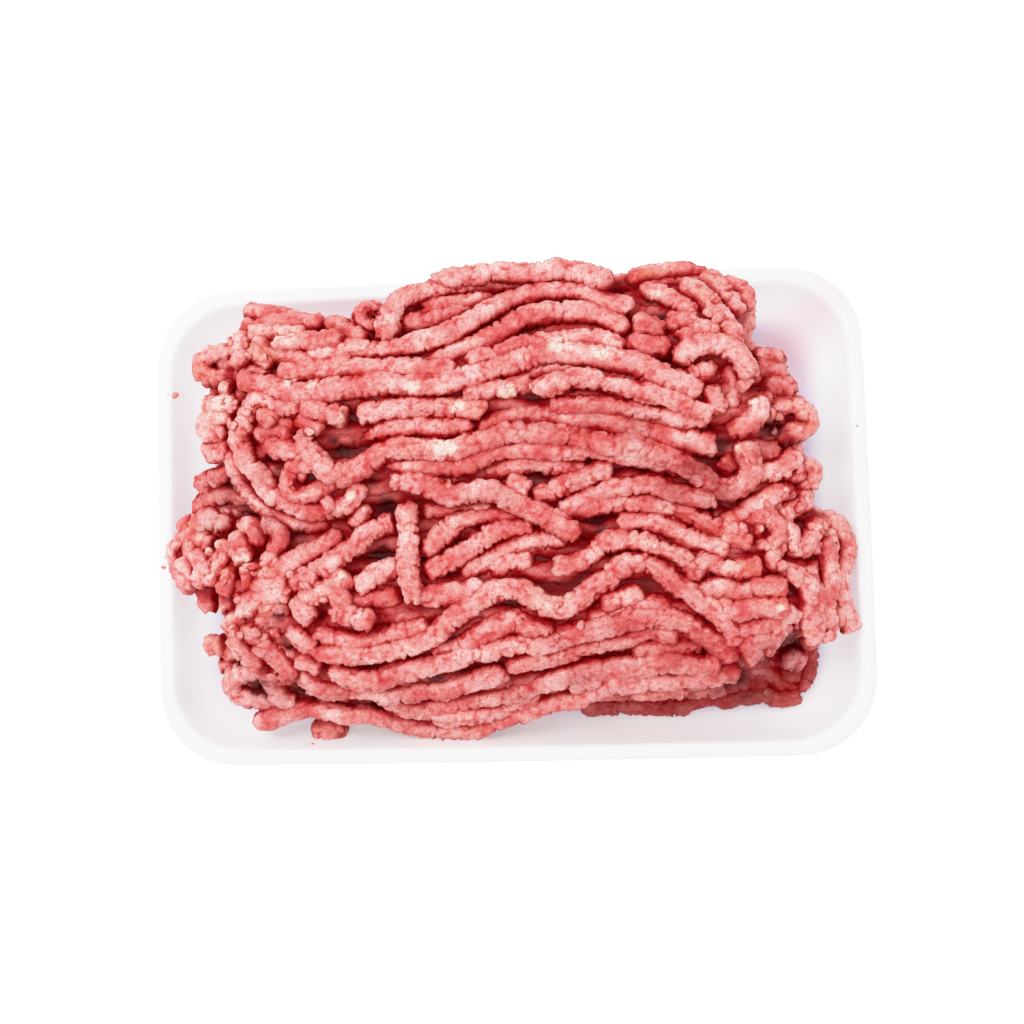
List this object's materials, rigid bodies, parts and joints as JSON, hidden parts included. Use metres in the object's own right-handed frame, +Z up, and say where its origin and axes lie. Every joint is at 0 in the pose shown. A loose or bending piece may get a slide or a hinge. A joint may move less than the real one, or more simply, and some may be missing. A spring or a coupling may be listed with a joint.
{
  "type": "meat tray pack",
  "caption": "Open white foam tray with a rounded lip, heaped with raw minced meat in long knobbly strands.",
  "frame": {"origin": "middle of the tray's underside", "axes": "+X along the tray's length, +Y from the front long side to the rear one, +Z up"},
  "size_m": [0.21, 0.1424, 0.0495],
  "materials": {
    "tray": "white expanded foam with a smooth skin",
    "mince": "raw minced meat, moist, pink with pale fat"
  },
  "bodies": {
    "root": {"tray": "tray", "mince": "mince"}
  },
  "joints": []
}
